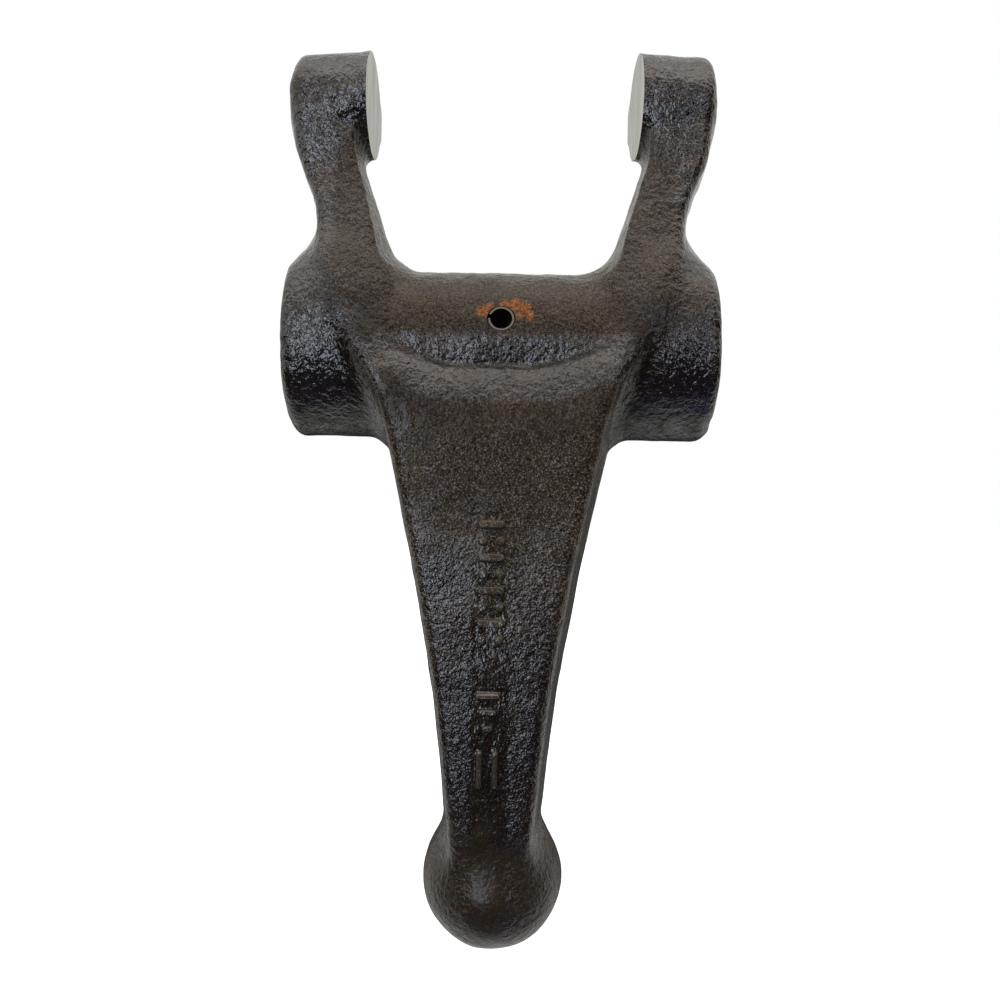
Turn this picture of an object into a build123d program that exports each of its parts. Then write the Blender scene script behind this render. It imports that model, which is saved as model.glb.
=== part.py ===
"""Clutch release fork of a truck: a forged lever that rocks on a cross shaft.

Frame: origin at the middle of the pivot axis, +X along that axis, +Z up the prongs,
+Y to the rear, the side that the release bearing and the pushrod are on. Millimetres.
"""

import os
from math import cos, radians, sin

from build123d import *

# Barrel: the cross tube that the pivot shaft runs through.
BARREL_RADIUS = 25.0
BARREL_LENGTH = 124.0
BARREL_EDGE = 2.5

# Pivot: a 25 mm shaft in two plain bushes, each with a lip seal outboard of it.
SHAFT_RADIUS = 12.5
BUSH_RADIUS = 14.0
BUSH_LENGTH = 30.0
BUSH_CHAMFER = 0.5
BUSH_TO_SEAL = 1.0
SEAL_RADIUS = 16.0
SEAL_WIDTH = 4.0
SEAL_SET_BACK = 0.5
SEAL_WALL = 0.9
SEAL_FLANGE_RADIUS = 13.6
LIP_RADIUS = 12.52
LIP_SET_BACK = 0.5

# Arm: level sections as (height, half width, front, rear). They run down into the ball.
ARM_SECTIONS = [
    (-7.0, 38.8, -30.6, 16.0),
    (-20.0, 34.8, -31.0, 15.0),
    (-34.0, 31.0, -30.0, 12.5),
    (-65.5, 24.8, -27.9, 10.0),
    (-103.5, 18.3, -25.3, 8.0),
    (-133.0, 14.8, -23.4, 6.5),
    (-170.0, 7.5, -20.5, 5.0),
]
ARM_EDGE = 5.0

# Prong: level sections as (height, inner side, outer side, front, rear).
PRONG_SECTIONS = [
    (-24.0, 8.0, 32.5, -30.6, 14.0),
    (-7.0, 16.0, 38.8, -30.4, 15.5),
    (4.0, 26.0, 42.6, -27.8, 16.0),
    (18.0, 31.0, 48.0, -23.4, 14.6),
    (40.0, 36.6, 56.2, -16.2, 8.0),
    (62.0, 42.0, 61.4, -13.8, 4.5),
    (76.0, 42.0, 62.2, -13.8, 4.3),
]
PRONG_EDGE = 4.0

# Ears: round heads on the prongs. Their rear pads push the release bearing.
EAR_RADIUS = 15.4
EAR_HEIGHT = 76.2
EAR_INNER = 40.4
EAR_OUTER = 62.4
EAR_EDGE = 3.5
PAD_DEPTH = 17.5
PAD_HEIGHT = 12.5
PAD_MIDDLE = 77.4
PAD_EDGE = 4.0

# Ball end, with a pressed-in cup for the pushrod.
BALL_RADIUS = 21.2
BALL_HEIGHT = -158.7
SOCKET_FACE = 16.5
SEAT_RADIUS = 11.0
SEAT_LENGTH = 9.5
SEAT_CHAMFER = 0.6
PUSHROD_RADIUS = 8.0
PUSHROD_CENTRE = 17.5

# Slotted spring pin through the front of the barrel wall.
PIN_RADIUS = 4.0
PIN_WALL = 0.9
PIN_LENGTH = 11.6
PIN_TILT = 15.0
PIN_SLOT = 1.3
PIN_SLOT_TURN = 168.0
PIN_CHAMFER = 0.4
PIN_SUNK = 0.3

SEAL_OUTER_FACE = BARREL_LENGTH / 2 - SEAL_SET_BACK
SEAL_INNER_FACE = SEAL_OUTER_FACE - SEAL_WIDTH
BUSH_OUTER_FACE = SEAL_INNER_FACE - BUSH_TO_SEAL
BUSH_INNER_FACE = BUSH_OUTER_FACE - BUSH_LENGTH

# Looking at the pin from outside: z runs out along the pin, y up the barrel's front.
PIN_PLANE = Plane(
    origin=(0, 0, 0),
    x_dir=(1, 0, 0),
    z_dir=(0, -cos(radians(PIN_TILT)), sin(radians(PIN_TILT))),
)
PIN_OUTER_END = BARREL_RADIUS - PIN_SUNK
PIN_INNER_END = PIN_OUTER_END - PIN_LENGTH

os.makedirs("parts", exist_ok=True)


def save(piece, label):
    """Labels one finished piece and writes its STEP file."""
    piece.part.label = label
    export_step(piece.part, f"parts/{label}.step")


def save_ring(section, label):
    """Turns a section, as (place along the pivot, radius), and writes it for both ends."""
    for side, sign in (("left", -1), ("right", 1)):
        with BuildPart() as ring:
            with BuildSketch(Plane.XY):
                with BuildLine():
                    Polyline([(sign * along, radius) for along, radius in section], close=True)
                make_face()
            revolve(axis=Axis.X)
        save(ring, f"{side}_{label}")


# ---- Forging ---------------------------------------------------------------------------

with BuildPart() as arm:
    for height, half_width, front, rear in ARM_SECTIONS:
        with BuildSketch(Plane.XY.offset(height)):
            with Locations((0, (front + rear) / 2)):
                RectangleRounded(2 * half_width, rear - front, ARM_EDGE)
    loft()

with BuildPart() as prong:
    for height, inner, outer, front, rear in PRONG_SECTIONS:
        with BuildSketch(Plane.XY.offset(height)):
            with Locations(((inner + outer) / 2, (front + rear) / 2)):
                RectangleRounded(outer - inner, rear - front, PRONG_EDGE)
    loft()

# A round head with the raised contact pad on its rear rim.
with BuildPart() as ear:
    with BuildSketch(Plane.YZ.offset(EAR_INNER)):
        with Locations((0, EAR_HEIGHT)):
            Circle(EAR_RADIUS)
        with Locations((PAD_DEPTH / 2, PAD_MIDDLE)):
            RectangleRounded(PAD_DEPTH, PAD_HEIGHT, PAD_EDGE)
    extrude(amount=EAR_OUTER - EAR_INNER)
    fillet(ear.faces().sort_by(Axis.X)[-1].edges(), EAR_EDGE)

with BuildPart() as fork_body:
    Cylinder(BARREL_RADIUS, BARREL_LENGTH, rotation=(0, 90, 0))
    fillet(fork_body.edges().filter_by(GeomType.CIRCLE), BARREL_EDGE)
    add(prong.part)
    add(ear.part)
    mirror(prong.part, about=Plane.YZ)
    mirror(ear.part, about=Plane.YZ)
    add(arm.part)
    with Locations((0, 0, BALL_HEIGHT)):
        Sphere(BALL_RADIUS)
    # Pivot bore, then the wider recess for a seal at each end.
    Cylinder(BUSH_RADIUS, BARREL_LENGTH, rotation=(0, 90, 0), mode=Mode.SUBTRACT)
    for seal_plane in (Plane.YZ.offset(SEAL_INNER_FACE), Plane.ZY.offset(SEAL_INNER_FACE)):
        with BuildSketch(seal_plane):
            Circle(SEAL_RADIUS)
        extrude(amount=SEAL_WIDTH + SEAL_SET_BACK, mode=Mode.SUBTRACT)
    # Hole for the spring pin, from the bore out through the front.
    with BuildSketch(PIN_PLANE):
        Circle(PIN_RADIUS)
    extrude(amount=2 * BARREL_RADIUS, mode=Mode.SUBTRACT)
    # Flat on the ball's rear, and the bore for the pushrod's seat.
    with BuildSketch(Plane.ZX.offset(SOCKET_FACE)):
        with Locations((BALL_HEIGHT, 0)):
            Circle(BALL_RADIUS)
    extrude(amount=BALL_RADIUS, mode=Mode.SUBTRACT)
    with BuildSketch(Plane.ZX.offset(SOCKET_FACE - SEAT_LENGTH)):
        with Locations((BALL_HEIGHT, 0)):
            Circle(SEAT_RADIUS)
    extrude(amount=SEAT_LENGTH, mode=Mode.SUBTRACT)
save(fork_body, "fork_body")

# ---- Pieces of the pivot ---------------------------------------------------------------

# Wrapped plain bush, chamfered inside and outside at both ends.
save_ring(
    [
        (BUSH_INNER_FACE, SHAFT_RADIUS + BUSH_CHAMFER),
        (BUSH_INNER_FACE + BUSH_CHAMFER, SHAFT_RADIUS),
        (BUSH_OUTER_FACE - BUSH_CHAMFER, SHAFT_RADIUS),
        (BUSH_OUTER_FACE, SHAFT_RADIUS + BUSH_CHAMFER),
        (BUSH_OUTER_FACE, BUSH_RADIUS - BUSH_CHAMFER),
        (BUSH_OUTER_FACE - BUSH_CHAMFER, BUSH_RADIUS),
        (BUSH_INNER_FACE + BUSH_CHAMFER, BUSH_RADIUS),
        (BUSH_INNER_FACE, BUSH_RADIUS - BUSH_CHAMFER),
    ],
    "bush",
)

# Steel case of the seal: a tube with a flange at its inner end.
SEAL_BOND_FACE = SEAL_INNER_FACE + SEAL_WALL
SEAL_BOND_RADIUS = SEAL_RADIUS - SEAL_WALL
save_ring(
    [
        (SEAL_OUTER_FACE, SEAL_RADIUS),
        (SEAL_INNER_FACE, SEAL_RADIUS),
        (SEAL_INNER_FACE, SEAL_FLANGE_RADIUS),
        (SEAL_BOND_FACE, SEAL_FLANGE_RADIUS),
        (SEAL_BOND_FACE, SEAL_BOND_RADIUS),
        (SEAL_OUTER_FACE, SEAL_BOND_RADIUS),
    ],
    "seal_case",
)

# Rubber lip, bonded inside the case, that points outward and wipes the shaft.
LIP_TIP_FACE = SEAL_OUTER_FACE - LIP_SET_BACK
LIP_WEB_FACE = (SEAL_BOND_FACE + LIP_TIP_FACE) / 2
save_ring(
    [
        (LIP_TIP_FACE, SEAL_BOND_RADIUS),
        (SEAL_BOND_FACE, SEAL_BOND_RADIUS),
        (SEAL_BOND_FACE, SEAL_FLANGE_RADIUS),
        (LIP_TIP_FACE - LIP_SET_BACK, LIP_RADIUS),
        (LIP_TIP_FACE, LIP_RADIUS + LIP_SET_BACK),
        (LIP_WEB_FACE, SEAL_FLANGE_RADIUS + LIP_SET_BACK),
        (LIP_TIP_FACE, SEAL_BOND_RADIUS - LIP_SET_BACK),
    ],
    "seal_lip",
)

# ---- Spring pin ------------------------------------------------------------------------

with BuildPart() as spring_pin:
    with BuildSketch(PIN_PLANE.offset(PIN_INNER_END)):
        Circle(PIN_RADIUS)
    extrude(amount=PIN_LENGTH)
    chamfer(spring_pin.edges().filter_by(GeomType.CIRCLE), PIN_CHAMFER)
    with BuildSketch(PIN_PLANE.offset(PIN_INNER_END)):
        Circle(PIN_RADIUS - PIN_WALL)
        with Locations(Rotation(0, 0, PIN_SLOT_TURN)):
            Rectangle(2 * PIN_RADIUS, PIN_SLOT, align=(Align.MIN, Align.CENTER))
    extrude(amount=PIN_LENGTH, mode=Mode.SUBTRACT)
save(spring_pin, "spring_pin")

# ---- Pushrod seat ----------------------------------------------------------------------

with BuildPart() as pushrod_seat:
    with BuildSketch(Plane.ZX.offset(SOCKET_FACE - SEAT_LENGTH)):
        with Locations((BALL_HEIGHT, 0)):
            Circle(SEAT_RADIUS)
    extrude(amount=SEAT_LENGTH)
    chamfer(pushrod_seat.edges().filter_by(GeomType.CIRCLE), SEAT_CHAMFER)
    with Locations((0, PUSHROD_CENTRE, BALL_HEIGHT)):
        Sphere(PUSHROD_RADIUS, mode=Mode.SUBTRACT)
save(pushrod_seat, "pushrod_seat")
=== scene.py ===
"""Looks of the clutch release fork: its forging as one blended surface, its materials, its light.

Frame: metres, +X along the pivot axis, +Z up the prongs, +Y to the rear. The forging is shaped in
millimetres as a distance field, meshed, scaled to metres and cut by the machined faces.
"""

from math import cos, pi, radians, sin, tan

import bmesh
import bpy
import numpy as np
from mathutils import Matrix, Vector, noise


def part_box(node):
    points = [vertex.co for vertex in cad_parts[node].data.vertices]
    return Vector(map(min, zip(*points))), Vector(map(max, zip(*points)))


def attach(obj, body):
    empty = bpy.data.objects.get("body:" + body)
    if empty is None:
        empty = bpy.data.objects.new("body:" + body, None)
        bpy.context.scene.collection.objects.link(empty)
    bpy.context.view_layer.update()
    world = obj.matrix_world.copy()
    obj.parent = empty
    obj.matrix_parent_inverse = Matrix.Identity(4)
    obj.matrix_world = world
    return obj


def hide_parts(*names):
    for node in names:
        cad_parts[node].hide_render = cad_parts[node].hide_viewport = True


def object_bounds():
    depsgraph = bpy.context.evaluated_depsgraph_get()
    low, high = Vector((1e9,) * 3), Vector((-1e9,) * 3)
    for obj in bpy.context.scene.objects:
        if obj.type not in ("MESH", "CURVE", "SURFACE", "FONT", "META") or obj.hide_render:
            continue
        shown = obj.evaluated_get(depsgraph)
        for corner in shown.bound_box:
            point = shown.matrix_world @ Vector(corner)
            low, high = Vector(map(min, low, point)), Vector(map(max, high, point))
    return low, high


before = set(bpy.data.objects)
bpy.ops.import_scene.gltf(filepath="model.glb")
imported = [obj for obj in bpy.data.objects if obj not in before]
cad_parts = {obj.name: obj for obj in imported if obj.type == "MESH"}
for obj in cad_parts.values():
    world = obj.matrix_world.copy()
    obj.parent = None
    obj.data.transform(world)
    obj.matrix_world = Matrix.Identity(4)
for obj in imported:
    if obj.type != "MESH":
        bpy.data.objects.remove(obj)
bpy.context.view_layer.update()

MM = 0.001

# ---- Sizes of the forging, in millimetres ------------------------------------------------
# An EDGE is the radius of a rounded edge, and a FILLET the radius in a corner.

BARREL_RADIUS = 25.0
BARREL_HALF = 62.5
BARREL_EDGE = 3.4

# The forging sits a little to the left of the faces that were machined on it, and a little low.
SKIN_SHIFT = -0.2
BARREL_DROP = 0.5

PARTING_PLANE = -4.0
DRAFT = tan(radians(8.5))
DIE_SKEW = 0.04

# Half width of the arm and of the prongs' outer sides, as (height, half width).
OUTER_SIDE = [
    (-186, 8.0), (-160, 12.0), (-150, 13.6), (-138, 14.9), (-126, 16.0), (-102, 18.9),
    (-78, 23.0), (-59, 26.6), (-41, 30.6), (-29, 33.0), (-17, 36.4), (0, 43.0), (12, 48.0),
    (26, 53.2), (34, 55.0), (42, 56.0), (48, 57.8), (54, 60.8), (61, 62.8), (68, 62.8), (100, 62.8),
]
# Inner sides of the prongs, and the floor of the gap between them.
INNER_SIDE = [(-10, 24.0), (16, 30.4), (33, 34.4), (46, 38.6), (56, 42.0), (100, 42.0)]
GAP_FLOOR = -7.0
GAP_FILLET = 18.0

# Front and rear surfaces, as (height, depth). The arm's face slopes between two of the points.
FACE_LOW, FACE_HIGH = (-140, -22.15), (-18, -31.0)
FRONT = [
    (-186, -2.0), (-170, -6.0), (-158, -13.0), (-148, -19.4), FACE_LOW, FACE_HIGH, (-8, -31.0),
    (0, -29.2), (20, -22.8), (35, -17.4), (50, -13.8), (100, -13.8),
]
REAR = [
    (-186, 4.5), (-150, 6.2), (-103, 8.0), (-60, 11.0), (-25, 16.5), (10, 16.0), (34, 10.0),
    (50, 5.2), (100, 4.6),
]
LEVER_TOP = 80.0
LEVER_END = -168.0
LEVER_EDGES = {"front": 4.0, "rear": 3.5, "side": 3.2, "gap": 1.4, "end": 4.0}

# The broad slope from the gap's edge forward to the arm's face, gone further up the prongs.
BAND_DROP = 5.6
BAND_REACH = 10.6
BAND_RETREAT = 6.0
BAND_FADE = (8, 34)

# The prong's root, which spreads over the end of the barrel, as (depth, height) in section.
SHOULDER_MIDDLE = (-2.0, 10.8)
SHOULDER_RADIUS = 19.6
SHOULDER_PLACE = 50.5
SHOULDER_HALF = 11.1
SHOULDER_EDGE = 7.5
SHOULDER_FILLET = 9.0

# Fillets between the barrel and the lever: the least, and what is added to it inside the gap and
# out towards the shoulders.
CREASE_FILLET = 1.2
GAP_ROOT_FILLET = 8.0
OUTER_FILLET = 5.5

EAR_RADIUS = 15.2
EAR_HEIGHT = 76.4
EAR_TILT = 0.010
EAR_INNER = 40.4
EAR_OUTER = 62.5
EAR_EDGE = 3.4
EAR_DRAFT = tan(radians(3.8))
EAR_FILLET = 3.5
EAR_STOCK = 0.6

# The contact pad on the ear's rear rim, as (depth, height above the ear's middle).
PAD_REAR = 17.5
PAD_MIDDLE = (9.0, 1.0)
PAD_HALF = (8.9, 6.4)
PAD_EDGE = 4.0
PAD_FILLET = 2.0

BALL_RADIUS = 21.2
BALL_HEIGHT = -158.7
BALL_FILLET = 5.0
SOCKET_FACE = 16.5
SEAT_RADIUS = 11.0
SEAT_FLOOR = 7.0
SEAT_CHAMFER = 0.5

BORE_RADIUS = 14.0
SEAL_RADIUS = 16.0
SEAL_FLOOR = 57.5
SEAL_CHAMFER = 0.6
END_FACE = 62.0

PIN_RADIUS = 4.0
PIN_TILT = radians(15)
PIN_HOLE_FLOOR = 8.0

# How far the machining tools pass the forging.
TOOL_REACH = 70.0
TOOL_MARGIN = 4.0
FACING_MARGIN = 12.0
# What the tools between the ears and on the pads sweep, as (depth, height) corners.
EAR_CUT_LOW, EAR_CUT_HIGH = (-20, 57), (22, 96)
PAD_CUT_LOW, PAD_CUT_HIGH = (PAD_REAR, 70), (24, 85)

# Plain raised marks down the arm, measured from the middle of the top one: bars and pairs of dots
# in turn, then bars that get shorter, then two upright bars.
MARK_X = -1.6
MARK_TOP = -51.0
MARK_PITCH = 4.6
MARK_COUNT = 8
MARK_HEIGHT = 1.25
MARK_SLOPE = 0.24
BAR_HALF, BAR_RADIUS = 2.6, 1.0
DOT_PLACE, DOT_RADIUS = 2.4, 1.15
SHORT_TOP, SHORT_SHIFT, SHORT_RADIUS = -48.0, -0.4, 0.8
UPRIGHT_TOP, UPRIGHT_PITCH, UPRIGHT_HALF, UPRIGHT_RADIUS = -69.0, 4.4, 4.6, 0.7
# The part of the arm's face that is meshed finely enough for them.
FINE_HALF = 5.6
FINE_BOTTOM, FINE_TOP = MARK_TOP - 77, MARK_TOP + 3

# Dents and ripples in the skin, as (depth, how many to the millimetre).
BROAD_DENTS = (0.28, 0.085)
RIPPLES = [(0.20, 0.19), (0.13, 0.36)]
# Knocks in the skin, as (place, radius, depth).
KNOCKS = [
    ((-59.0, -13.6, 71.8), 1.5, 0.70), ((-53.8, -14.2, 72.3), 1.3, 0.55),
    ((-49.2, -14.2, 71.0), 1.5, 0.50), ((-46.4, -13.6, 65.8), 2.4, 0.50),
    ((-61.2, -23.8, -2.6), 1.8, 0.70), ((-60.6, -22.6, -7.0), 1.5, 0.50),
    ((52.6, -6.0, 33.0), 1.8, 0.90), ((61.4, -12.0, -21.5), 2.0, 0.70),
    ((56.0, -24.0, -3.5), 2.2, 0.45),
]

# The grid that the forging is meshed on.
CELL = 0.96
GRID_LOW = (-66.0, -36.0, -184.0)
GRID_HIGH = (66.0, 30.0, 96.0)


# ---- Distance fields ---------------------------------------------------------------------

def line(points, blur, step=0.5):
    """A smooth curve through a few (place, value) points, with how far it slopes."""
    places, values = np.array(points, float).T
    grid = np.arange(places[0] - 4 * blur, places[-1] + 4 * blur, step)
    kernel = np.exp(-0.5 * (np.arange(-4 * blur, 4 * blur + step, step) / blur) ** 2)
    pad = len(kernel) // 2
    raw = np.pad(np.interp(grid, places, values), pad, mode="edge")
    smooth = np.convolve(raw, kernel / kernel.sum(), mode="same")[pad:-pad]
    slope = np.gradient(smooth, step)
    return lambda z: (np.interp(z, grid, smooth), np.hypot(1, np.interp(z, grid, slope)))


def meet(a, b, radius):
    """Where both solids are, with the edge between them rounded."""
    outside = np.hypot(np.maximum(a + radius, 0), np.maximum(b + radius, 0))
    return np.minimum(np.maximum(a, b), -radius) + outside


def join(a, b, radius):
    """Where either solid is, with a fillet in the corner between them."""
    inside = np.hypot(np.maximum(radius - a, 0), np.maximum(radius - b, 0))
    return np.maximum(np.minimum(a, b), radius) - inside


def ramp(value, low, high):
    """From 0 at low to 1 at high, with soft ends."""
    t = np.clip((value - low) / (high - low), 0, 1)
    return t * t * (3 - 2 * t)


outer_side = line(OUTER_SIDE, blur=3.5)
inner_side = line(INNER_SIDE, blur=3.0)
front_face = line(FRONT, blur=3.0)
rear_face = line(REAR, blur=5.0)


def lever(x, y, z):
    """The arm and the prongs."""
    across = np.abs(x - SKIN_SHIFT - DIE_SKEW * (y - PARTING_PLANE))
    draft = np.abs(y - PARTING_PLANE) * DRAFT
    half, slope = outer_side(z)
    sides = (across - half + draft) / slope
    half, slope = inner_side(z)
    gap = meet((across - half - draft) / slope, GAP_FLOOR - z, GAP_FILLET)
    depth, slope = front_face(z)
    front = (depth - y) / slope
    depth, slope = rear_face(z)
    rear = (y - depth) / slope
    band = BAND_DROP * -gap + BAND_REACH * front + BAND_DROP * BAND_REACH
    band = band / np.hypot(BAND_DROP, BAND_REACH) - BAND_RETREAT * ramp(z, *BAND_FADE)
    front = meet(front, band, LEVER_EDGES["front"])
    body = meet(meet(front, rear, LEVER_EDGES["rear"]), sides, LEVER_EDGES["side"])
    body = meet(body, -gap, LEVER_EDGES["gap"])
    middle, half = (LEVER_TOP + LEVER_END) / 2, (LEVER_TOP - LEVER_END) / 2
    return meet(body, np.abs(z - middle) - half, LEVER_EDGES["end"])


def barrel(x, y, z):
    around = np.hypot(y, z + BARREL_DROP) - BARREL_RADIUS
    return meet(around, np.abs(x) - BARREL_HALF, BARREL_EDGE)


def ears(x, y, z):
    outside = np.abs(x - SKIN_SHIFT) - EAR_OUTER
    up = z - EAR_HEIGHT - EAR_TILT * x
    head = np.hypot(y, up) - EAR_RADIUS + EAR_DRAFT * (outside + EAR_OUTER - EAR_INNER)
    head = meet(head, outside, EAR_EDGE)
    pad_y = np.abs(y - PAD_MIDDLE[0]) - PAD_HALF[0]
    pad_z = np.abs(up - PAD_MIDDLE[1]) - PAD_HALF[1]
    pad = meet(meet(pad_y, pad_z, PAD_EDGE), outside, PAD_EDGE)
    head = join(head, pad, PAD_FILLET)
    return meet(head, EAR_INNER - EAR_STOCK - np.abs(x), 0.3)


def ball(x, y, z):
    return np.sqrt(x * x + y * y + (z - BALL_HEIGHT) ** 2) - BALL_RADIUS


def shoulder(x, y, z):
    root = np.hypot(y - SHOULDER_MIDDLE[0], z - SHOULDER_MIDDLE[1]) - SHOULDER_RADIUS
    ends = np.abs(np.abs(x - SKIN_SHIFT) - SHOULDER_PLACE) - SHOULDER_HALF
    return meet(root, ends, SHOULDER_EDGE)


def forging(x, y, z):
    """How far a place is outside the forging."""
    body = join(lever(x, y, z), shoulder(x, y, z), SHOULDER_FILLET)
    # Round where the prongs leave the barrel inside the gap, and crisp where the arm crosses it.
    inner = ramp(z, 6, 24) * ramp(-np.abs(x), -48, -40)
    outer = ramp(np.abs(x), 27, 36) * (1 - inner)
    corner = CREASE_FILLET + GAP_ROOT_FILLET * inner + OUTER_FILLET * outer
    body = join(barrel(x, y, z), body, corner)
    body = join(body, ears(x, y, z), EAR_FILLET)
    return join(body, ball(x, y, z), BALL_FILLET)


def mark_strokes():
    """The raised marks, as (across, up, half width, half height, radius)."""
    for i in range(MARK_COUNT):
        if i % 2:
            for side in (-DOT_PLACE, DOT_PLACE):
                yield side, -i * MARK_PITCH, 0, 0, DOT_RADIUS
        else:
            yield 0, -i * MARK_PITCH, BAR_HALF, 0, BAR_RADIUS
    for i in range(3):
        yield SHORT_SHIFT, SHORT_TOP - i * MARK_PITCH, BAR_HALF - i, 0, SHORT_RADIUS
    for i in range(2):
        yield i * UPRIGHT_PITCH - BAR_HALF, UPRIGHT_TOP, 0, UPRIGHT_HALF, UPRIGHT_RADIUS


def mark_height(x, z):
    """How far the raised marks stand out of the arm's face."""
    gap = np.full(np.shape(x), 99.0)
    for across, up, half_width, half_height, radius in mark_strokes():
        across = np.maximum(np.abs(x - MARK_X - across) - half_width, 0)
        up = np.maximum(np.abs(z - (MARK_TOP + up)) - half_height, 0)
        gap = np.minimum(gap, np.hypot(across, up) - radius)
    return MARK_HEIGHT * (1 - ramp(gap, -MARK_SLOPE, MARK_SLOPE))


# ---- Meshing -----------------------------------------------------------------------------

def surface_net(field, low):
    """One vertex in each cell that the surface crosses, and a quad round each crossed edge."""
    inside = field < 0
    size = np.array(field.shape) - 1

    def corner(grid, c):
        return grid[c[0]:size[0] + c[0], c[1]:size[1] + c[1], c[2]:size[2] + c[2]]

    corners = [np.array(c) for c in np.ndindex(2, 2, 2)]
    filled = sum(corner(inside, c).astype(np.int8) for c in corners)
    active = (filled > 0) & (filled < len(corners))
    cells = np.argwhere(active)
    index = np.full(active.shape, -1)
    index[active] = np.arange(len(cells))
    total = np.zeros((len(cells), 3))
    hits = np.zeros(len(cells))
    units = np.eye(3, dtype=int)
    for c in corners:
        for axis in range(3):
            if c[axis]:
                continue
            a = corner(field, c)[active]
            b = corner(field, c + units[axis])[active]
            crossed = (a < 0) != (b < 0)
            share = np.where(crossed, a / np.where(crossed, a - b, 1), 0)
            total += crossed[:, None] * (c + share[:, None] * units[axis])
            hits += crossed
    points = low + CELL * (cells + total / hits[:, None])
    quads = []
    for axis in range(3):
        u, v = units[(axis + 1) % 3], units[(axis + 2) % 3]
        first = inside[tuple(slice(0, -1) if i == axis else slice(1, -1) for i in range(3))]
        second = inside[tuple(slice(1, None) if i == axis else slice(1, -1) for i in range(3))]
        at = np.argwhere(first != second) + u + v
        solid_first = inside[tuple(at.T)]
        ring = [index[tuple((at - shift).T)] for shift in (0 * u, u, u + v, v)]
        ring = np.stack(ring, axis=1)
        ring[~solid_first] = ring[~solid_first][:, ::-1]
        quads.append(ring)
    return points, np.concatenate(quads)


def gradient(points, reach=0.05):
    out = np.empty_like(points)
    for axis in range(3):
        ahead, behind = points.copy(), points.copy()
        ahead[:, axis] += reach
        behind[:, axis] -= reach
        out[:, axis] = forging(*ahead.T) - forging(*behind.T)
    return out / (2 * reach)


def settle(points, rounds, least_slope=0.2):
    """Moves points onto the surface of the forging, and returns them with their normals."""
    for _ in range(rounds):
        slope = gradient(points)
        steepness = np.maximum((slope ** 2).sum(axis=1), least_slope)
        points = points - slope * (forging(*points.T) / steepness)[:, None]
    slope = gradient(points)
    return points, slope / np.linalg.norm(slope, axis=1)[:, None]


def new_mesh(name, points, faces):
    mesh = bpy.data.meshes.new(name)
    mesh.from_pydata(points.tolist(), [], faces.tolist())
    return mesh


def refine_marks(mesh):
    """Divides the faces under the raised marks finely enough to shape them."""
    bm = bmesh.new()
    bm.from_mesh(mesh)
    edges = {}
    for face in bm.faces:
        middle = face.calc_center_median()
        if face.normal.y < -0.8 and abs(middle.x - MARK_X) < FINE_HALF:
            if FINE_BOTTOM < middle.z < FINE_TOP:
                edges.update(dict.fromkeys(face.edges))
    # A dictionary keeps its order, which a set doesn't, so each run divides them alike.
    bmesh.ops.subdivide_edges(bm, edges=list(edges), cuts=3, use_grid_fill=True)
    bm.to_mesh(mesh)
    bm.free()


def skin_relief(points):
    """The uneven skin that a die leaves: broad dents, finer ripples, then the knocks it took."""
    vectors = [Vector(p) for p in points]

    def waves(depth, rate):
        return np.array([depth * noise.noise(v * rate) for v in vectors])

    # The ripples are fainter down the arm.
    ripples = sum(waves(*ripple) for ripple in RIPPLES)
    relief = waves(*BROAD_DENTS) + ripples * (1 - 0.6 * ramp(-points[:, 2], 12, 30))
    for place, radius, depth in KNOCKS:
        away = ((points - np.array(place)) ** 2).sum(axis=1)
        relief -= depth * np.exp(-away / radius ** 2)
    return relief


def forged_surface():
    low = np.array(GRID_LOW)
    axes = [np.arange(start, end + CELL, CELL) for start, end in zip(GRID_LOW, GRID_HIGH)]
    x, y, z = np.meshgrid(*axes, indexing="ij", sparse=True)
    points, quads = surface_net(forging(x, y, z), low)
    points, _ = settle(points, rounds=3)
    mesh = new_mesh("fork_forging", points, quads)
    refine_marks(mesh)
    points = np.empty(len(mesh.vertices) * 3)
    mesh.vertices.foreach_get("co", points)
    points, normals = settle(points.reshape(-1, 3), rounds=1)
    relief = skin_relief(points)
    facing = ramp(-normals[:, 1], 0.5, 0.9)
    relief += facing * mark_height(points[:, 0], points[:, 2])
    points = (points + normals * relief[:, None]) * MM
    mesh.vertices.foreach_set("co", points.ravel())
    mesh.update()
    return mesh


# ---- Machined faces ----------------------------------------------------------------------

def turned(name, outline, axis, segments=128):
    """A closed solid turned from an outline of (along, radius) points about an axis."""
    along = axis.normalized()
    side = along.orthogonal().normalized()
    other = along.cross(side)
    bm = bmesh.new()
    rings = []
    for place, radius in outline:
        rings.append([
            bm.verts.new(along * place + (side * cos(a) + other * sin(a)) * radius)
            for a in (2 * pi * i / segments for i in range(segments))
        ])
    for lower, upper in zip(rings, rings[1:]):
        for i in range(segments):
            j = (i + 1) % segments
            bm.faces.new((lower[i], lower[j], upper[j], upper[i]))
    bm.faces.new(rings[0][::-1])
    bm.faces.new(rings[-1])
    bmesh.ops.recalc_face_normals(bm, faces=bm.faces)
    mesh = bpy.data.meshes.new(name)
    bm.to_mesh(mesh)
    bm.free()
    return mesh


def block(name, low, high):
    bm = bmesh.new()
    bmesh.ops.create_cube(bm, size=1)
    low, high = Vector(low), Vector(high)
    bmesh.ops.scale(bm, vec=high - low, verts=bm.verts)
    bmesh.ops.translate(bm, vec=(low + high) / 2, verts=bm.verts)
    mesh = bpy.data.meshes.new(name)
    bm.to_mesh(mesh)
    bm.free()
    return mesh


def placed(mesh, offset):
    mesh.transform(Matrix.Translation(offset))
    return mesh


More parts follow.
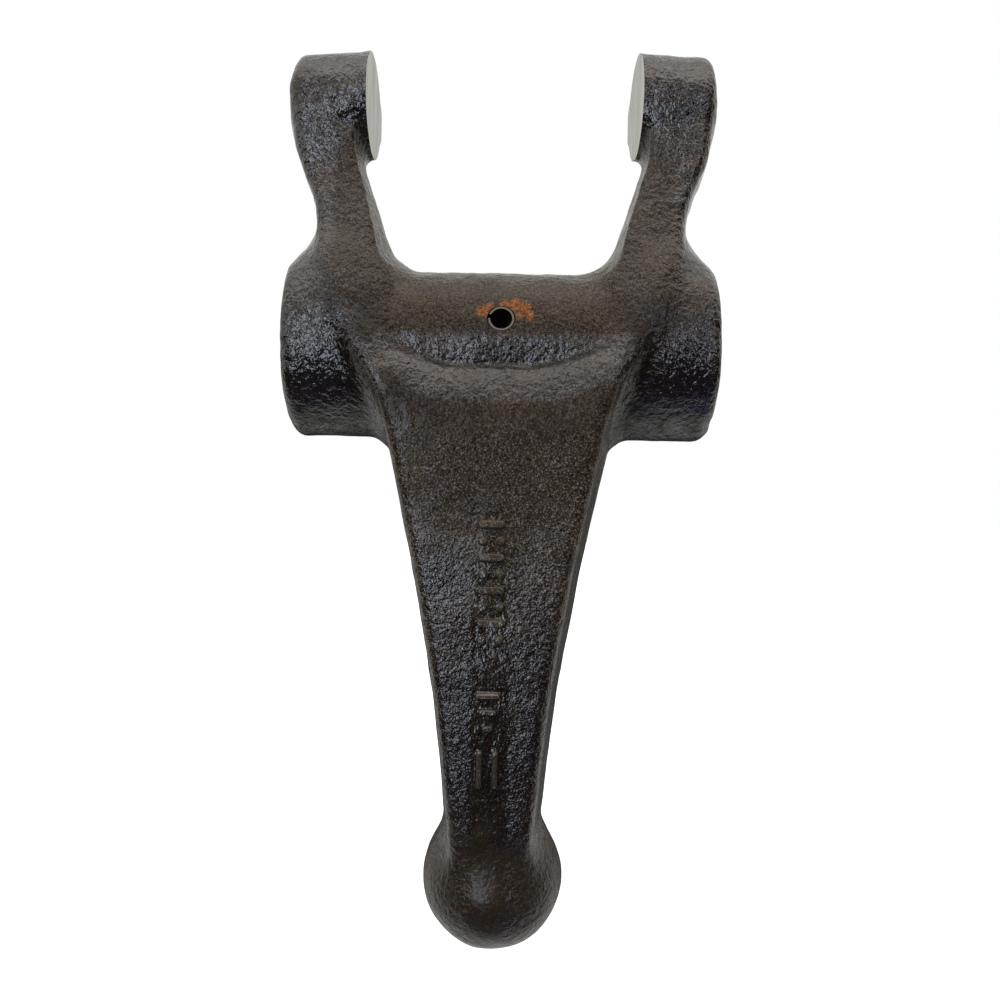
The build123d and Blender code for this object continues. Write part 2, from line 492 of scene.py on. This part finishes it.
def cutters():
    """Solids that stand for what the machining takes away, in millimetres."""
    facing = BARREL_RADIUS + FACING_MARGIN
    bore = [
        (-TOOL_REACH, facing), (-END_FACE, facing), (-END_FACE, SEAL_RADIUS + SEAL_CHAMFER),
        (-END_FACE + SEAL_CHAMFER, SEAL_RADIUS), (-SEAL_FLOOR, SEAL_RADIUS),
        (-SEAL_FLOOR, BORE_RADIUS),
    ]
    bore += [(-along, radius) for along, radius in reversed(bore)]
    facing = BALL_RADIUS + TOOL_MARGIN
    socket = [
        (SEAT_FLOOR, SEAT_RADIUS), (SOCKET_FACE - SEAT_CHAMFER, SEAT_RADIUS),
        (SOCKET_FACE, SEAT_RADIUS + SEAT_CHAMFER), (SOCKET_FACE, facing), (TOOL_REACH, facing),
    ]
    pin_hole = [(PIN_HOLE_FLOOR, PIN_RADIUS), (BARREL_RADIUS + TOOL_MARGIN, PIN_RADIUS)]
    pin_axis = Vector((0, -cos(PIN_TILT), sin(PIN_TILT)))
    return [
        turned("bore", bore, Vector((1, 0, 0))),
        block("ear_gap", (-EAR_INNER, *EAR_CUT_LOW), (EAR_INNER, *EAR_CUT_HIGH)),
        block("pads", (-TOOL_REACH, *PAD_CUT_LOW), (TOOL_REACH, *PAD_CUT_HIGH)),
        placed(turned("socket", socket, Vector((0, 1, 0)), 96), (0, 0, BALL_HEIGHT)),
        turned("pin_hole", pin_hole, pin_axis, 64),
    ]


def crease(mesh):
    """Keeps the shading of the machined faces apart from that of the skin."""
    mesh.polygons.foreach_set("use_smooth", [True] * len(mesh.polygons))
    mesh.set_sharp_from_angle(angle=radians(38))
    bm = bmesh.new()
    bm.from_mesh(mesh)
    for edge in bm.edges:
        if len({face.material_index for face in edge.link_faces}) > 1:
            edge.smooth = False
    bm.to_mesh(mesh)
    bm.free()


def machine(piece, materials):
    """Cuts the machined faces, which take the second material."""
    for mesh in cutters():
        mesh.transform(Matrix.Scale(MM, 4))
        for material in materials:
            mesh.materials.append(material)
        mesh.polygons.foreach_set("material_index", [1] * len(mesh.polygons))
        tool = bpy.data.objects.new(mesh.name, mesh)
        bpy.context.scene.collection.objects.link(tool)
        cut = piece.modifiers.new(mesh.name, "BOOLEAN")
        cut.operation = "DIFFERENCE"
        cut.solver = "MANIFOLD"
        cut.object = tool
        bpy.context.view_layer.update()
        made = bpy.data.meshes.new_from_object(
            piece.evaluated_get(bpy.context.evaluated_depsgraph_get())
        )
        piece.modifiers.clear()
        piece.data = made
        bpy.data.objects.remove(tool)


# ---- Materials ---------------------------------------------------------------------------

class Nodes:
    """A node tree, built up from nodes that take sockets or plain values as inputs."""

    def __init__(self, tree):
        self.tree = tree

    def node(self, kind, inputs=(), **settings):
        made = self.tree.nodes.new(kind)
        for name, value in settings.items():
            setattr(made, name, value)
        self.feed(made, dict(inputs))
        return made

    def feed(self, node, inputs):
        for name, value in inputs.items():
            if isinstance(value, bpy.types.NodeSocket):
                self.tree.links.new(value, node.inputs[name])
            else:
                node.inputs[name].default_value = value

    def spread(self, value, low, high, to_low=0.0, to_high=1.0):
        """Maps low to to_low and high to to_high, with soft ends. Low may be the larger."""
        inputs = {
            "Value": value, "From Min": low, "From Max": high, "To Min": to_low, "To Max": to_high,
        }
        made = self.node("ShaderNodeMapRange", inputs, interpolation_type="SMOOTHSTEP")
        return made.outputs["Result"]

    def math(self, operation, first, *others):
        """One operation on a value, or on all the values in turn."""
        if not others:
            return self.node("ShaderNodeMath", {0: first}, operation=operation).outputs[0]
        for other in others:
            made = self.node("ShaderNodeMath", {0: first, 1: other}, operation=operation)
            first = made.outputs[0]
        return first

    def plus(self, *values):
        return self.math("ADD", *values)

    def times(self, *values):
        return self.math("MULTIPLY", *values)

    def most(self, *values):
        return self.math("MAXIMUM", *values)

    def vector_math(self, operation, *values):
        return self.node("ShaderNodeVectorMath", dict(enumerate(values)), operation=operation)

    def blend(self, share, a, b, mode="MIX"):
        """Colours a and b mixed, where a plain colour has three parts."""
        a, b = ((*value, 1) if isinstance(value, tuple) else value for value in (a, b))
        mix = self.node("ShaderNodeMix", data_type="RGBA", blend_type=mode)
        self.feed(mix, {0: share, 6: a, 7: b})
        return mix.outputs[2]


class Shader(Nodes):
    """A material."""

    def __init__(self, name):
        self.material = bpy.data.materials.new(name)
        self.material.use_nodes = True
        super().__init__(self.material.node_tree)
        self.place = self.node("ShaderNodeTexCoord").outputs["Object"]

    def noise(self, scale, detail=2.0, roughness=0.5, distortion=0.0, place=None):
        inputs = {"Vector": place or self.place, "Scale": scale, "Detail": detail,
                  "Roughness": roughness, "Distortion": distortion}
        return self.node("ShaderNodeTexNoise", inputs).outputs["Fac"]

    def near(self, centre, radius, edge, ragged):
        """How near a place is to a spot, in metres, with a ragged edge."""
        away = self.vector_math("DISTANCE", self.place, centre).outputs["Value"]
        return self.spread(self.plus(away, ragged), radius, radius - edge)

    def bump(self, height, distance, strength=1.0, below=None):
        inputs = {"Height": height, "Distance": distance, "Strength": strength}
        if below:
            inputs["Normal"] = below
        return self.node("ShaderNodeBump", inputs).outputs["Normal"]

    def finish(self, **inputs):
        inputs = {name.replace("_", " "): value for name, value in inputs.items()}
        self.feed(self.tree.nodes["Principled BSDF"], inputs)
        return self.material


# The near-black below serves the skin's random tone, the darkening on the barrel's ends and down
# the arm, and the painted shade in the crease.
SOOT_AND_SHADE = (0.008, 0.0055, 0.0038)
OIL_BROWN = (0.046, 0.030, 0.0155)
WORN_FLECK = (0.25, 0.20, 0.14)
# The pale below is a painted highlight on the rims of the raised marks.
RIM_HIGHLIGHT = (0.15, 0.12, 0.09)
RUST_DARK, RUST_LIGHT = (0.11, 0.038, 0.010), (0.30, 0.115, 0.034)

# Rust round the spring pin, as (across, up, radius) in millimetres from the pin's mouth, and
# fainter spots further off, as (place, radius) in millimetres.
PIN_RUST = [
    (-4.9, 2.6, 2.4), (-3.2, 4.2, 1.4), (1.2, 4.9, 2.1), (4.2, 4.7, 2.6), (6.6, 3.4, 2.6),
    (8.2, 1.2, 2.0), (5.2, 1.6, 1.8),
]
FAINT_RUST = [((12.6, -30.0, -12.4), 1.5), ((8.4, -30.0, -12.0), 1.0), ((42.0, -24.0, 7.0), 2.2)]


# Soft edges of the zones of the skin, in metres, from where each begins to where it is full.
EDGES = {
    # By height.
    "arm": (-0.018, -0.036), "sooty arm": (-0.055, -0.115), "ball": (-0.134, -0.150),
    "prong foot": (0.002, 0.012), "prong top": (0.069, 0.061),
    "pin top": (0.017, 0.010), "pin bottom": (-0.004, 0.001),
    "wet top": (0.005, 0.000), "wet bottom": (-0.021, -0.015), "wet gone": (-0.015, -0.021),
    "barrel top": (0.018, 0.006), "crease top": (0.003, -0.006),
    "marks top": ((MARK_TOP + 5) * MM, (MARK_TOP + 2) * MM), "marks bottom": (-0.130, -0.126),
    # By distance from the middle, or from the middle of the marks.
    "prong side": (0.053, 0.046), "pin side": (0.048, 0.034), "barrel end": (0.030, 0.040),
    "marks side": (0.0065, 0.0042),
    # By distance from the pivot axis.
    "crease inner": (0.0251, 0.0256), "crease outer": (0.0272, 0.0259),
    # By how far it stands out of the arm's face.
    "rim foot": (0.00045, 0.0007), "rim top": (0.0012, 0.0010),
}
# How much the zones' edges wander, and where the arm's top is rubbed dry, in metres.
RAGGED = 0.009
ARM_TOP_MIDDLE, ARM_TOP_RADIUS, ARM_TOP_EDGE = (0.003, -0.030, -0.026), 0.050, 0.034
# The wet strip rises by this much at this distance from the middle.
STRIP_RISE, STRIP_HALF = 0.018, 0.036
PEEL_DEPTH, GRAIN_DEPTH = 0.00055, 0.00018


class SkinZones:
    """Where the skin is dry or wet, where it is darker, and where shade and a highlight are painted
    on it, as shares from 0 to 1.
    """

    def __init__(self, s):
        split = s.node("ShaderNodeSeparateXYZ", {0: s.place})
        x, depth, height = (split.outputs[i] for i in range(3))
        across = s.math("ABSOLUTE", x)
        ragged = s.spread(s.noise(110, 3, 0.6), 0.2, 0.8, -RAGGED, RAGGED)
        rough_height = s.plus(height, ragged)

        def edge(value, name, to_low=0.0, to_high=1.0):
            return s.spread(value, *EDGES[name], to_low, to_high)

        self.arm = edge(height, "arm")
        self.ball = edge(rough_height, "ball")

        # Dry where hands and tools rub it, at the top of the arm and up the prongs.
        arm_top = s.near(ARM_TOP_MIDDLE, ARM_TOP_RADIUS, ARM_TOP_EDGE, ragged)
        prong = s.times(edge(rough_height, "prong foot"), edge(rough_height, "prong top"),
                        edge(across, "prong side"))
        # Dry round the pin too, with a wet strip that sweeps below, above the arm's face.
        swept = s.times(s.math("POWER", s.math("DIVIDE", across, STRIP_HALF), 4.0), STRIP_RISE)
        swept = s.math("SUBTRACT", height, swept)
        round_pin = s.times(edge(across, "pin side"), edge(height, "pin top"),
                            edge(height, "pin bottom"))
        wet = s.times(edge(height, "wet top"), edge(swept, "wet bottom"))
        self.pocket = s.times(s.most(arm_top, round_pin), s.spread(wet, 0.0, 1.0, 1.0, 0.3))
        patches = s.spread(s.noise(30, 3, 0.6), 0.54, 0.66, 0.0, 0.8)
        self.dry = s.most(self.pocket, prong, patches)
        self.dull = s.times(arm_top, edge(swept, "wet gone"))

        # Darker on the barrel's ends below the barrel's top, and darker down the arm.
        ends = s.times(edge(across, "barrel end", to_high=0.7), edge(height, "barrel top"))
        self.darkened = s.most(ends, edge(rough_height, "sooty arm", to_high=0.75))
        # Painted shade: the crease that the lever makes with the barrel is darkened and its shine
        # cut.
        round_axis = s.vector_math("MULTIPLY", s.place, (0, 1, 1)).outputs["Vector"]
        radius = s.vector_math("LENGTH", round_axis).outputs["Value"]
        self.crease_shade = s.times(edge(radius, "crease inner"), edge(radius, "crease outer"),
                            edge(height, "crease top", to_high=0.8),
                            s.spread(s.noise(190, 3, 0.6), 0.3, 0.6, 0.35, 1.0))

        # The marks stand out of the arm's sloping face, and a pale painted highlight lies on their
        # rims.
        beside = s.math("ABSOLUTE", s.math("SUBTRACT", x, MARK_X * MM))
        self.marked = s.times(edge(beside, "marks side"), edge(height, "marks top"))
        slope = (FACE_HIGH[1] - FACE_LOW[1]) / (FACE_HIGH[0] - FACE_LOW[0])
        face = s.plus(s.times(height, slope), (FACE_LOW[1] - slope * FACE_LOW[0]) * MM)
        raised = s.math("SUBTRACT", face, depth)
        self.rim = s.times(edge(raised, "rim foot"), edge(raised, "rim top", 0.2, 0.6),
                           self.marked, edge(height, "marks bottom"))


def rust_zone(s):
    """Where water has stood and left rust."""
    pin_low, pin_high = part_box("spring_pin")
    pin = Vector(((pin_low.x + pin_high.x) / 2, pin_low.y, pin_high.z - PIN_RADIUS * MM))
    ragged = s.spread(s.noise(700, 4, 0.7), 0.25, 0.75, -0.0008, 0.0008)
    spots = []
    for dx, dz, radius in PIN_RUST:
        up = pin.z + dz * MM
        on_barrel = -((BARREL_RADIUS * MM) ** 2 - up ** 2) ** 0.5
        spots.append(s.near((pin.x + dx * MM, on_barrel, up), radius * MM, 0.0012, ragged))
    for place, radius in FAINT_RUST:
        spot = s.near(tuple(c * MM for c in place), radius * MM, 0.0018, ragged)
        spots.append(s.times(spot, 0.5))
    return s.most(*spots)


def skin_colour(s, zones, grain, rust):
    """The skin's colour, layer by layer."""
    colour = s.blend(s.spread(s.noise(60, 3, 0.6), 0.34, 0.68, 0.05, 0.85), SOOT_AND_SHADE, OIL_BROWN)
    colour = s.blend(s.times(zones.dry, 0.55), colour, OIL_BROWN)
    worn = s.times(s.spread(s.plus(grain, s.noise(2600, 2, 0.6)), 1.02, 1.30),
                   s.spread(zones.arm, 0.0, 1.0, 0.12, 0.45))
    colour = s.blend(worn, colour, WORN_FLECK)
    pits = s.spread(s.plus(grain, s.noise(1300, 3, 0.7)), 0.75, 1.25, 0.25, 1.45)
    colour = s.blend(1.0, colour, pits, "MULTIPLY")
    # Darker on the barrel's ends and down the arm.
    colour = s.blend(zones.darkened, colour, SOOT_AND_SHADE)
    colour = s.blend(s.times(zones.ball, 0.35), colour, OIL_BROWN)
    # Painted shade along the crease between the lever and the barrel.
    colour = s.blend(zones.crease_shade, colour, SOOT_AND_SHADE)
    # Painted highlight on the rims of the raised marks.
    colour = s.blend(zones.rim, colour, RIM_HIGHLIGHT)
    return s.blend(rust, colour, s.blend(s.spread(grain, 0.35, 0.65), RUST_DARK, RUST_LIGHT))


def faded(s, zone, share, full=1.0):
    """1 outside a zone and the given share inside it."""
    return s.spread(zone, 0.0, full, 1.0, share)


def forged_skin():
    s = Shader("forged_skin")
    zones = SkinZones(s)
    orange_peel = s.noise(600, 1.0, 0.5, distortion=0.5)
    grain = s.noise(1900, 1.2, 0.5)
    rust = rust_zone(s)

    on_marks = faded(s, zones.marked, 0.35)
    swell = s.times(faded(s, zones.arm, 0.75), faded(s, zones.dull, 0.65),
                    faded(s, zones.ball, 1.4), on_marks)
    fine = s.times(s.spread(zones.arm, 0.0, 1.0, 0.6, 1.0), on_marks)
    skin = s.bump(orange_peel, PEEL_DEPTH, swell)
    skin = s.bump(grain, GRAIN_DEPTH, fine, skin)

    rough = s.plus(s.spread(s.noise(240, 3, 0.6), 0.35, 0.65, 0.09, 0.17),
                   s.times(zones.dry, 0.10), s.times(zones.dull, 0.06), s.times(zones.ball, 0.16))
    shine = s.times(s.spread(zones.dry, 0.0, 1.0, 0.55, 0.27), faded(s, zones.dull, 0.8),
                    faded(s, zones.pocket, 0.55), faded(s, zones.crease_shade, 0.25, full=0.8),
                    faded(s, zones.ball, 0.45))
    return s.finish(Base_Color=skin_colour(s, zones, grain, rust), Normal=skin,
                    Roughness=s.most(rough, s.times(rust, 0.85)), Specular_IOR_Level=shine)


def machined_steel(name, tint, roughness, grain_axis=(60, 60, 60)):
    """Bare cut steel, with the fine lines of the tool."""
    s = Shader(name)
    stretched = s.node("ShaderNodeMapping", {"Vector": s.place, "Scale": grain_axis}).outputs[0]
    lines = s.noise(60, 4, 0.7, place=stretched)
    colour = s.blend(s.spread(lines, 0.3, 0.7), tuple(0.8 * c for c in tint), tint)
    rough = s.spread(lines, 0.3, 0.7, roughness + 0.06, roughness - 0.04)
    return s.finish(Base_Color=colour, Metallic=1.0, Roughness=rough,
                    Normal=s.bump(lines, 0.00002, 0.5))


def rubber():
    s = Shader("nitrile_rubber")
    grain = s.noise(1800, 3, 0.6)
    colour = s.blend(grain, (0.012, 0.012, 0.013), (0.028, 0.028, 0.030))
    return s.finish(Base_Color=colour, Roughness=s.spread(grain, 0.3, 0.7, 0.5, 0.7),
                    Normal=s.bump(grain, 0.00004, 0.6))


# ---- Pieces ------------------------------------------------------------------------------

SKIN = forged_skin()
CUT_STEEL = machined_steel("cut_steel", (0.38, 0.375, 0.35), 0.36, (30, 8, 0.6))

forging_piece = bpy.data.objects.new("fork_forging", forged_surface())
bpy.context.scene.collection.objects.link(forging_piece)
for material in (SKIN, CUT_STEEL):
    forging_piece.data.materials.append(material)
machine(forging_piece, (SKIN, CUT_STEEL))
crease(forging_piece.data)
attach(forging_piece, "root")
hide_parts("fork_body")

NODE_MATERIALS = {
    "spring_pin": machined_steel("spring_steel", (0.13, 0.12, 0.11), 0.38),
    "left_bush": machined_steel("bush_bronze", (0.52, 0.36, 0.2), 0.34, (0.6, 12, 12)),
    "left_seal_case": machined_steel("seal_steel", (0.42, 0.42, 0.41), 0.32),
    "left_seal_lip": rubber(),
    "pushrod_seat": machined_steel("hard_steel", (0.4, 0.39, 0.375), 0.24),
}
for name, material in NODE_MATERIALS.items():
    for node in (name, name.replace("left", "right")):
        for material_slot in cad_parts[node].material_slots:
            material_slot.material = material

# ---- Stage -------------------------------------------------------------------------------

FLOOR_DROP = 0.022
FLOOR_HALF = 3.0

# The room that surfaces see, by direction. A range is the start and the end of a soft edge.
ROOM_LOW, ROOM_HIGH = (0.06, 0.06, 0.12), (0.025, 0.021, 0.026)
CEILING, FLOOR_GLOW, REAR_WALL = (2.9, 2.7, 2.6), (0.5, 0.48, 0.95), (0.92, 0.93, 0.90)
STRAIGHT_BEHIND = (0.05, 0.05, 0.05)
# Windows, as (edge below, edge above, edges at the sides, colour). Later ones cover earlier ones.
WINDOWS = [
    ((0.07, 0.13), (0.40, 0.34), [(0.10, 0.05)], (2.0, 2.1, 2.3)),
    ((-0.12, 0.02), (0.40, 0.30), [(0.28, 0.34), (0.72, 0.62)], (2.4, 2.6, 3.1)),
    ((-0.45, -0.30), (0.42, 0.34), [(-0.13, -0.18), (-0.46, -0.38)], (5.0, 5.6, 6.6)),
]

CAMERA_PLACE = (0.0005, -0.2617, -0.0444)
CAMERA_ROLL = radians(0.95)
CAMERA_LENS = 30.6
CAMERA_SENSOR = 36


def make_floor():
    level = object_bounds()[0].z - FLOOR_DROP
    signs = ((-1, -1), (1, -1), (1, 1), (-1, 1))
    corners = np.array([(x * FLOOR_HALF, y * FLOOR_HALF, level) for x, y in signs])
    floor = bpy.data.objects.new("floor", new_mesh("floor", corners, np.array([[0, 1, 2, 3]])))
    bpy.context.scene.collection.objects.link(floor)
    s = Shader("pale_floor")
    tone = s.blend(s.noise(3, 2), (0.86, 0.86, 0.855), (0.88, 0.88, 0.88))
    floor.data.materials.append(s.finish(
        Base_Color=tone, Roughness=0.9, Specular_IOR_Level=0.1,
        Emission_Color=(1, 1, 1, 1), Emission_Strength=0.42,
    ))
    # The object doesn't mirror the floor, so its undersides stay dark.
    floor.visible_glossy = False
    floor.visible_diffuse = False


def make_world():
    """White all round to the camera. To surfaces, a dim room in front with a few windows."""
    world = bpy.data.worlds.new("studio")
    world.use_nodes = True
    n = Nodes(world.node_tree)
    way = n.node("ShaderNodeTexCoord").outputs["Generated"]
    way = n.node("ShaderNodeSeparateXYZ", {0: way})
    across, along, up = (way.outputs[i] for i in range(3))

    shown = n.blend(n.spread(up, -0.85, -0.35), ROOM_LOW, ROOM_HIGH)
    shown = n.blend(n.spread(up, 0.38, 0.95), shown, CEILING)
    glow = n.times(n.spread(up, -0.78, -0.92), n.spread(across, 0.10, 0.18))
    shown = n.blend(glow, shown, FLOOR_GLOW)
    for below, above, sides, colour in WINDOWS:
        pane = n.times(n.spread(up, *below), n.spread(up, *above),
                       *(n.spread(across, *side) for side in sides))
        shown = n.blend(pane, shown, colour)
    straight = n.times(n.spread(along, 0.72, 0.87), n.spread(up, 0.10, 0.0))
    behind = n.blend(straight, REAR_WALL, STRAIGHT_BEHIND)
    shown = n.blend(n.spread(along, -0.22, 0.12), shown, behind)
    seen = n.node("ShaderNodeLightPath").outputs["Is Camera Ray"]
    n.feed(n.tree.nodes["Background"], {"Color": n.blend(seen, shown, (1.0, 1.0, 1.0))})
    bpy.context.scene.world = world


def make_camera():
    scene = bpy.context.scene
    camera = bpy.data.objects.new("camera", bpy.data.cameras.new("camera"))
    scene.collection.objects.link(camera)
    camera.data.sensor_width = CAMERA_SENSOR
    camera.data.lens = CAMERA_LENS
    camera.data.clip_start = 0.01
    camera.matrix_world = (
        Matrix.Translation(CAMERA_PLACE) @ Matrix.Rotation(radians(90), 4, "X")
        @ Matrix.Rotation(CAMERA_ROLL, 4, "Z")
    )
    scene.camera = camera
    scene.view_settings.view_transform = "Standard"


make_floor()
make_world()
make_camera()
